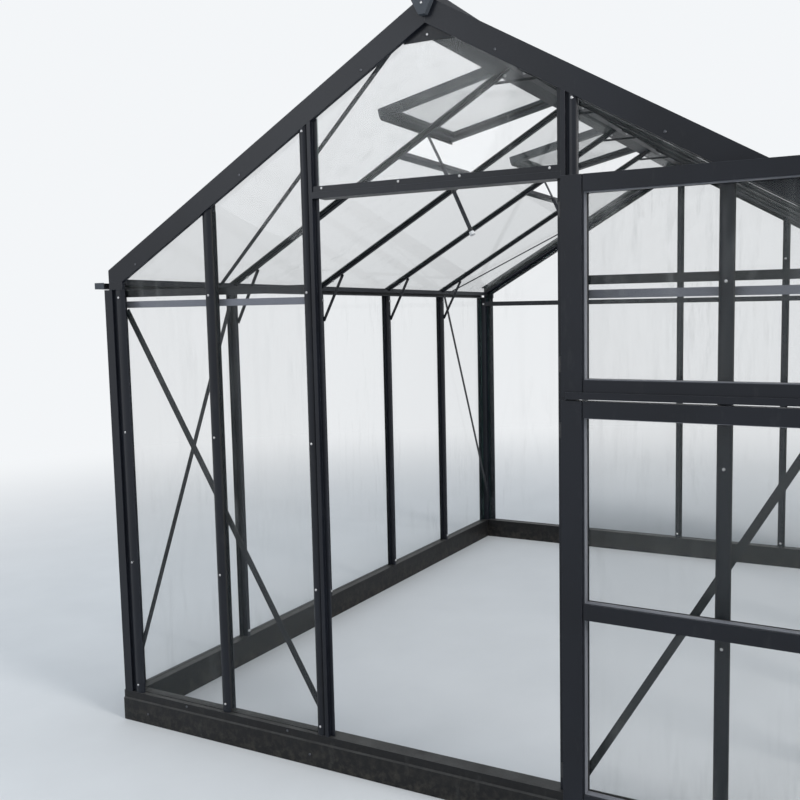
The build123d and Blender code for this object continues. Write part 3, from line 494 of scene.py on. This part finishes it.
front = Vector((0, -1, 0))
back = Vector((0, 1, 0))
upward = Vector((0, 0, 1))

# Rubber lip: a small quarter-round that fills the corner of a bar and its glass
lip = [(0, 0), (0.0030, 0), (0.0026, 0.0013), (0.0013, 0.0026), (0, 0.0030)]


def seal_frame(bm, corners, out, section=lip):
    """Lips round an opening whose four corners run in order, standing out of the glass."""
    centre = sum(corners, Vector()) / 4
    for start, end in zip(corners, corners[1:] + corners[:1]):
        middle = (start + end) / 2
        run = (end - start).normalized()
        inward = centre - middle
        inward = (inward - run * inward.dot(run)).normalized()
        swept(bm, section, start, end, inward, out)


# Glazing seals along the bar caps of the gables and walls
seals = bmesh.new()
glass_face = glass_inset - glass_half
for side in (-1, 1):
    for bar_side in (-1, 1):
        x = bar_side * gable_bar_x + side * cap_half
        high = (x, glass_face, rafter_under(x))
        swept(seals, lip, (x, glass_face, base_top), high, (side, 0, 0), front)
    for bar_x in (-back_bar_x, 0, back_bar_x):
        x = bar_x + side * cap_half
        top = rafter_under(x) if bar_x else ridge - 0.133
        low = (x, length - glass_face, base_top)
        high = (x, length - glass_face, top)
        swept(seals, lip, low, high, (side, 0, 0), back)
    for bar_y in bar_places:
        y = bar_y + side * cap_half
        for wall in (-1, 1):
            x = wall * (half_width - glass_face)
            swept(seals, lip, (x, y, base_top), (x, y, wall_top), (0, side, 0), (wall, 0, 0))
make("wall_glazing_seals", seals, "house", rubber)

# Roof seals: along the bar caps, and a taller strip under the flanges of the gable rafters
roof_seals = bmesh.new()
strip = [(0, 0), (0.009, 0), (0.009, 0.004), (0.004, 0.010), (0.003, 0.033), (0, 0.033)]
for side in (-1, 1):
    for bar_y in bar_places:
        for edge in (-1, 1):
            y = bar_y + edge * cap_half
            high = slope_point(0.100, roof_glass_top, y, side)
            low = slope_point(slope_length - 0.005, roof_glass_top, y, side)
            swept(roof_seals, lip, high, low, (0, edge, 0), slope_out(side))
    for y, inward in ((0.036, 1), (length - 0.036, -1)):
        high = slope_point(0.105, roof_glass_top, y, side)
        low = slope_point(slope_length - 0.040, roof_glass_top, y, side)
        swept(roof_seals, strip, high, low, (0, inward, 0), slope_out(side))
make("roof_glazing_seals", roof_seals, "house", rubber)

# Vent seals on both faces of each pane, and a soft lip under each free edge
vent_seals = bmesh.new()
for low_y, high_y in vent_spans:
    for out in (-1, 1):
        face = out * vent_pane_face
        corners = [
            vent_point(vent_pane_ends[0], face, low_y + vent_bar),
            vent_point(vent_pane_ends[1], face, low_y + vent_bar),
            vent_point(vent_pane_ends[1], face, high_y - vent_bar),
            vent_point(vent_pane_ends[0], face, high_y - vent_bar),
        ]
        seal_frame(vent_seals, corners, vent_out * out)
    edge_lip = [(0, 0), (0.003, 0), (0.004, -0.006), (0.002, -0.012), (0, -0.010)]
    start = vent_point(0.581, -0.0168, low_y + 0.004)
    end = vent_point(0.581, -0.0168, high_y - 0.004)
    swept(vent_seals, edge_lip, start, end, vent_run, vent_out)
make("vent_seals", vent_seals, "house", rubber)


# Glazing bead of the doors: a slim strip along the reveal on the inner face; its pale grey is a
# painted highlight for the reveal
bead = [(0, 0.0035), (0.0022, 0.0035), (0.0030, 0.0065), (0.0026, 0.0215),
        (0.0016, 0.0235), (0, 0.0235)]


def door_edging(name, leaf, openings, body):
    """Rubber lips on both faces of each door pane, and the beads that hold the panes."""
    lips = bmesh.new()
    beads = bmesh.new()
    left, right = door_pane_sides
    inner, outer = door_pane_faces
    for low, high in openings:
        for face, out in ((inner, -leaf.outward), (outer, leaf.outward)):
            corners = [
                leaf.point(left, face, low),
                leaf.point(right, face, low),
                leaf.point(right, face, high),
                leaf.point(left, face, high),
            ]
            seal_frame(lips, corners, out)
            if face == inner:
                seal_frame(beads, corners, out, bead)
    make(name + "_seals", lips, body, rubber)
    make(name + "_beads", beads, body, bead_highlight_coat)


upper_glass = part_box("upper_door_glass")
lower_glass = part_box("lower_door_glass")
door_edging("upper_door", upper_leaf, [(upper_glass[0].z, upper_glass[1].z)], "upper_door")
lower_panes = [(lower_glass[0].z, mid_rail[0]), (mid_rail[1], lower_glass[1].z)]
door_edging("lower_door", lower_leaf, lower_panes, "lower_door")

# Cleats that tie the gable bars' inner part to the flanges of the rafters
cleats = bmesh.new()
cleat_ends = (0.0235, 0.0535)
cleat_corners = ((-0.0075, -0.002), (0.0075, -0.002), (0.0075, 0.025), (-0.0075, 0.025))
for bar_x, low_y, high_y in ((gable_bar_x, cleat_ends[0], cleat_ends[1]),
                             (back_bar_x, length - cleat_ends[1], length - cleat_ends[0])):
    for side in (-1, 1):
        x = side * bar_x
        section = []
        for across, rise in cleat_corners:
            section.append((across, rafter_under(x + across) + rise))
        swept(cleats, section, (x, low_y, 0), (x, high_y, 0), (1, 0, 0), upward)
make("gable_bar_cleats", cleats, "house", coat)

# Screws of the house: coated ones on the rafters and base, bright ones elsewhere
places = []
coated = []
for side in (-1, 1):
    outside = Vector((side, 0, 0))
    for along in (0.30, 0.885, 1.471):
        coated.append((slope_point(along, -0.054, 0, side), front))
        coated.append((slope_point(along, -0.054, length, side), back))
    for z in screw_levels:
        places.append((Vector((side * (half_width - post_crown), 0.0002, z)), front))
        places.append((Vector((side * (half_width - post_crown), length - 0.0002, z)), back))
        places.append((Vector((side * half_width, post_crown, z)), outside))
        places.append((Vector((side * half_width, length - post_crown, z)), outside))
        places.append((Vector((side * gable_bar_x, bar_crown, z)), front))
        for bar_y in bar_places:
            places.append((Vector((side * (half_width - bar_crown), bar_y, z)), outside))
    for z in screw_levels + (top_screw_level,):
        places.append((Vector((side * jamb_crown, 0.0002, z)), front))
    places.append((Vector((side * 0.404, 0.004, head_top - 0.0075)), front))
    places.append((Vector((side * 0.109, 0.004, head_top - 0.0075)), front))
    for x in (0.62, 1.10):
        coated.append((Vector((side * x, 0.0, sill_screw_level)), front))
        coated.append((Vector((side * x, length, sill_screw_level)), back))
    for x in (0.52, 1.30):
        coated.append((Vector((side * x, -base_step, foot_screw_level)), front))
        coated.append((Vector((side * x, length + base_step, foot_screw_level)), back))
    for number in range(5):
        y = 0.35 + bay * number
        coated.append((Vector((side * (half_width + base_step), y, foot_screw_level)), outside))
        coated.append((Vector((side * half_width, y, sill_screw_level)), outside))
for z in screw_levels + (top_screw_level,):
    places.append((Vector((0, length - bar_crown, z)), back))
    for side in (-1, 1):
        places.append((Vector((side * back_bar_x, length - bar_crown, min(z, 2.05))), back))
places.append((Vector((0, -0.020, ridge - 0.030)), front))
for y, out in ((0.014, front), (length - 0.014, back)):
    places.append((Vector((0, y, ridge - 0.114)), out))
screws("house_screws", places, "house")
screws("coated_screws", coated, "house", dark_steel)

# Screws of the roof bars, ridge and vents
places = []
roof_bar_crown = roof_glass_top + 0.012
for side in (-1, 1):
    out = slope_out(side)
    for bar_y in bar_places:
        for along in (0.14, 0.56, 0.98, 1.40, 1.58):
            places.append((slope_point(along, roof_bar_crown, bar_y, side), out))
    for number in range(11):
        y = 0.10 + (length - 0.20) * number / 10
        places.append((slope_point(0.088, -0.0318, y, side), out))
for low_y, high_y in vent_spans:
    for along in (0.088, 0.289, 0.490):
        for y in (low_y, high_y - vent_bar):
            places.append((vent_point(along, 0.004, y), front))
        for y in (low_y + vent_bar, high_y):
            places.append((vent_point(along, 0.004, y), back))
    for along in (0.022, 0.571):
        for y in (low_y + 0.014, high_y - 0.014):
            places.append((vent_point(along, vent_face, y), vent_out))
            places.append((vent_point(along, -vent_face, y), -vent_out))
screws("roof_screws", places, "house", dark_steel)

# Bolts inside: at the ends of the bars, ties and braces
places = []
low_bolt = base_top + 0.028
high_bolt = min(1.90, rafter_under(gable_bar_x) - 0.03)
for side in (-1, 1):
    inside = Vector((-side, 0, 0))
    for bar_y in bar_places:
        for z in (low_bolt, wall_top - 0.030):
            places.append((Vector((side * (half_width - frame_depth), bar_y, z)), inside))
        for along in (0.075, slope_length - 0.110):
            places.append((slope_point(along, roof_bar_foot, bar_y, side), -slope_out(side)))
    for front_z, back_z in ((low_bolt, low_bolt), (high_bolt, 1.90)):
        places.append((Vector((side * gable_bar_x, frame_depth, front_z)), back))
        places.append((Vector((side * back_bar_x, length - frame_depth, back_z)), front))
    for x in (0.463, 1.382):
        for z in (wall_top - 0.056, wall_top - 0.0145):
            places.append((Vector((side * x, frame_depth + plate, z)), back))
    places.append((Vector((side * 0.474, frame_depth + plate, 0.140)), back))
    places.append((Vector((side * 1.360, frame_depth + plate, wall_top - 0.090)), back))
    places.append((Vector((side * 1.382, length - frame_depth - plate, wall_top - 0.041)), front))
places.append((Vector((0, length - frame_depth, low_bolt)), front))
bolts("inner_bolts", places, "house")

# White ends, collars and pins of the automatic openers
opener_top = slope_point(0.597, -0.0452, 0, -1) + Vector((0.014, 0, 0))
opener_down = Vector((sin(radians(25)), 0, -cos(radians(25))))
ends = bmesh.new()
collars = bmesh.new()
end_profile = [(0, 0.317), (0.0095, 0.317), (0.0114, 0.3185), (0.0116, 0.321),
               (0.0116, 0.331), (0.0105, 0.3335), (0.0080, 0.3345), (0.0046, 0.3345),
               (0.0042, 0.3325), (0, 0.3325)]
collar_profile = [(0, 0), (0.0086, 0), (0.0104, 0.0005), (0.0108, 0.002),
                  (0.0108, 0.008), (0.0104, 0.0095), (0.0086, 0.010), (0, 0.010)]
pin_profile = [(0, -0.0115), (0.0034, -0.0115), (0.0040, -0.0110), (0.0040, 0.0110),
               (0.0034, 0.0115), (0, 0.0115)]
for low_y, high_y in vent_spans:
    centre = opener_top + Vector((0, (low_y + high_y) / 2, 0))
    turned(ends, end_profile, centre, opener_down, 24)
    for along in (0.006, 0.120, 0.300):
        turned(collars, collar_profile, centre + opener_down * along, opener_down, 20)
    turned(collars, pin_profile, centre, (0, 1, 0), 12)
make("opener_ends", ends, "house", white)
make("opener_collars", collars, "house", fitting)

# Turn latches: a tapered lever with a round boss, on the outer face of each free stile.
# The lever goes through levels of (height, half width, depth).
lever_levels = [(0.000, 0.0040, 0.0045), (0.003, 0.0062, 0.0075), (0.012, 0.0080, 0.0100),
                (0.030, 0.0074, 0.0092), (0.045, 0.0080, 0.0105), (0.060, 0.0074, 0.0092),
                (0.078, 0.0080, 0.0100), (0.087, 0.0062, 0.0075), (0.090, 0.0040, 0.0045)]
boss_profile = [(0, 0), (0.0088, 0), (0.0088, 0.0100), (0.0080, 0.0122), (0.0062, 0.0132),
                (0.0034, 0.0134), (0.0030, 0.0118), (0, 0.0118)]


def latch(name, leaf, low, body, node):
    """Turn latch that takes the place of a plain latch node."""
    bm = bmesh.new()
    count = 12
    rings = []
    for height, wide, deep in lever_levels:
        ring = []
        for i in range(count + 1):
            a = pi * i / count
            along = latch_line + wide * cos(a)
            ring.append(bm.verts.new(leaf.point(along, deep * sin(a) ** 0.7, low + height)))
        rings.append(ring)
    for below, above in zip(rings, rings[1:]):
        for i in range(count + 1):
            j = (i + 1) % (count + 1)
            bm.faces.new((below[i], below[j], above[j], above[i]))
    bm.faces.new(rings[0])
    bm.faces.new(list(reversed(rings[-1])))
    turned(bm, boss_profile, leaf.point(latch_line, 0, low + 0.045), leaf.outward, 24)
    piece = make(name, bm, body, fitting)
    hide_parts(node)


upper_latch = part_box("upper_door_latch")[0].z
lower_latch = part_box("lower_door_latch")[0].z
latch("upper_latch_lever", upper_leaf, upper_latch, "upper_door", "upper_door_latch")
latch("lower_latch_lever", lower_leaf, lower_latch, "lower_door", "lower_door_latch")

# Screws of the hinges: on the jamb plates, and on the straps of each leaf
places = []
knuckle = 0.022
lower_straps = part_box("lower_door_hinges")
upper_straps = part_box("upper_door_hinges")
for straps in (lower_straps, upper_straps):
    for z in (straps[0].z, straps[1].z - knuckle):
        for x in (0.4665, 0.4790):
            places.append((Vector((x, -plate, z - knuckle / 2)), front))
screws("hinge_plate_screws", places, "house")
for name, leaf, straps, body in (("lower_hinge_screws", lower_leaf, lower_straps, "lower_door"),
                                 ("upper_hinge_screws", upper_leaf, upper_straps, "upper_door")):
    places = []
    for z in (straps[0].z + knuckle / 2, straps[1].z - knuckle / 2):
        for x in (0.024, 0.037):
            places.append((leaf.point(x, plate, z), leaf.outward))
    screws(name, places, body)


# Studio world: pale to the camera, softer as light
scene.world = bpy.data.worlds.new("studio")
scene.world.use_nodes = True
wt = scene.world.node_tree
wt.nodes.clear()
world_out = add(wt, "ShaderNodeOutputWorld")
backdrop = (0.90, 0.92, 0.94)
shades = []
for colour, strength in (((0.82, 0.91, 1.0), 0.50), (backdrop, 1.0)):
    shade = add(wt, "ShaderNodeBackground")
    shade.inputs[0].default_value = colour + (1,)
    shade.inputs[1].default_value = strength
    shades.append(shade)


def seen_directly(tree):
    """1 for rays that look at the backdrop straight, through glass or in a reflection."""
    path = add(tree, "ShaderNodeLightPath")
    camera_ray, through = path.outputs["Is Camera Ray"], path.outputs["Is Transmission Ray"]
    straight = math(tree, "MAXIMUM", camera_ray, through)
    return math(tree, "MAXIMUM", straight, path.outputs["Is Glossy Ray"])


world_mix = add(wt, "ShaderNodeMixShader")
wt.links.new(seen_directly(wt), world_mix.inputs[0])
wt.links.new(shades[0].outputs[0], world_mix.inputs[1])
wt.links.new(shades[1].outputs[0], world_mix.inputs[2])
wt.links.new(world_mix.outputs[0], world_out.inputs[0])


def area_light(name, where, target, size, power, colour=(1, 1, 1)):
    """Round soft lamp aimed at a point."""
    data = bpy.data.lights.new(name, "AREA")
    data.shape = "DISK"
    data.size = size
    data.energy = power
    data.color = colour
    lamp = bpy.data.objects.new(name, data)
    scene.collection.objects.link(lamp)
    lamp.location = where
    lamp.rotation_euler = (Vector(target) - Vector(where)).to_track_quat("-Z", "Y").to_euler()


area_light("sky_top", (-1.0, 0.5, 9.5), (0, 1.4, 1.0), 7.0, 300, (0.92, 0.96, 1.0))
area_light("sun_right", (8.3, -1.4, 4.4), (0.2, 1.0, 1.2), 2.6, 450, (1.0, 0.98, 0.95))
area_light("front_left", (-6.0, -8.0, 5.0), (0, 1.0, 1.2), 5.0, 200, (0.94, 0.97, 1.0))

# Pale floor that keeps the shadow and fades into the backdrop far from the object
floor_mesh = bpy.data.meshes.new("floor")
fb = bmesh.new()
bmesh.ops.create_grid(fb, x_segments=2, y_segments=2, size=60)
fb.to_mesh(floor_mesh)
fb.free()
floor = bpy.data.objects.new("floor", floor_mesh)
scene.collection.objects.link(floor)
floor.location = (0, 1.5, -0.001)
floor_mat, ft, fs, floor_out = new_material("floor_pale")
spot = noise(ft, position(ft), 3.0, 5.0)
floor_tone = mix(ft, ramp(ft, spot, 0.3, 0.7), (0.70, 0.71, 0.72), (0.73, 0.74, 0.75))
ft.links.new(floor_tone, fs.inputs["Base Color"])
fs.inputs["Roughness"].default_value = 0.9
far = add(ft, "ShaderNodeVectorMath", operation="LENGTH")
ft.links.new(position(ft), far.inputs[0])
fade = add(ft, "ShaderNodeMapRange", interpolation_type="SMOOTHSTEP", clamp=True)
fade.inputs["From Min"].default_value = 2.2
fade.inputs["From Max"].default_value = 8.5
ft.links.new(far.outputs["Value"], fade.inputs["Value"])
glow = add(ft, "ShaderNodeEmission")
glow.inputs[0].default_value = backdrop + (1,)
floor_mix = add(ft, "ShaderNodeMixShader")
ft.links.new(math(ft, "MULTIPLY", fade.outputs["Result"], seen_directly(ft)), floor_mix.inputs[0])
ft.links.new(fs.outputs[0], floor_mix.inputs[1])
ft.links.new(glow.outputs[0], floor_mix.inputs[2])
ft.links.new(floor_mix.outputs[0], floor_out.inputs[0])
floor_mesh.materials.append(floor_mat)

# Camera at the photograph's viewing angle
yaw, tip, roll = -0.45519461, -0.09556652, -0.01359862
forward = Vector((sin(yaw) * cos(tip), cos(yaw) * cos(tip), sin(tip)))
level = Vector((cos(yaw), -sin(yaw), 0))
above = level.cross(forward)
right = level * cos(roll) + above * sin(roll)
up = above * cos(roll) - level * sin(roll)
camera_data = bpy.data.cameras.new("camera")
camera_data.sensor_width = 36.0
camera_data.lens = 899.848 / 800 * 36.0
camera_data.shift_x = -0.1
camera_data.clip_end = 200
camera = bpy.data.objects.new("camera", camera_data)
scene.collection.objects.link(camera)
turn = Matrix((right, up, -forward)).transposed().to_4x4()
camera.matrix_world = Matrix.Translation((1.38769, -2.48637, 1.59305)) @ turn
scene.camera = camera

scene.view_settings.view_transform = "Standard"
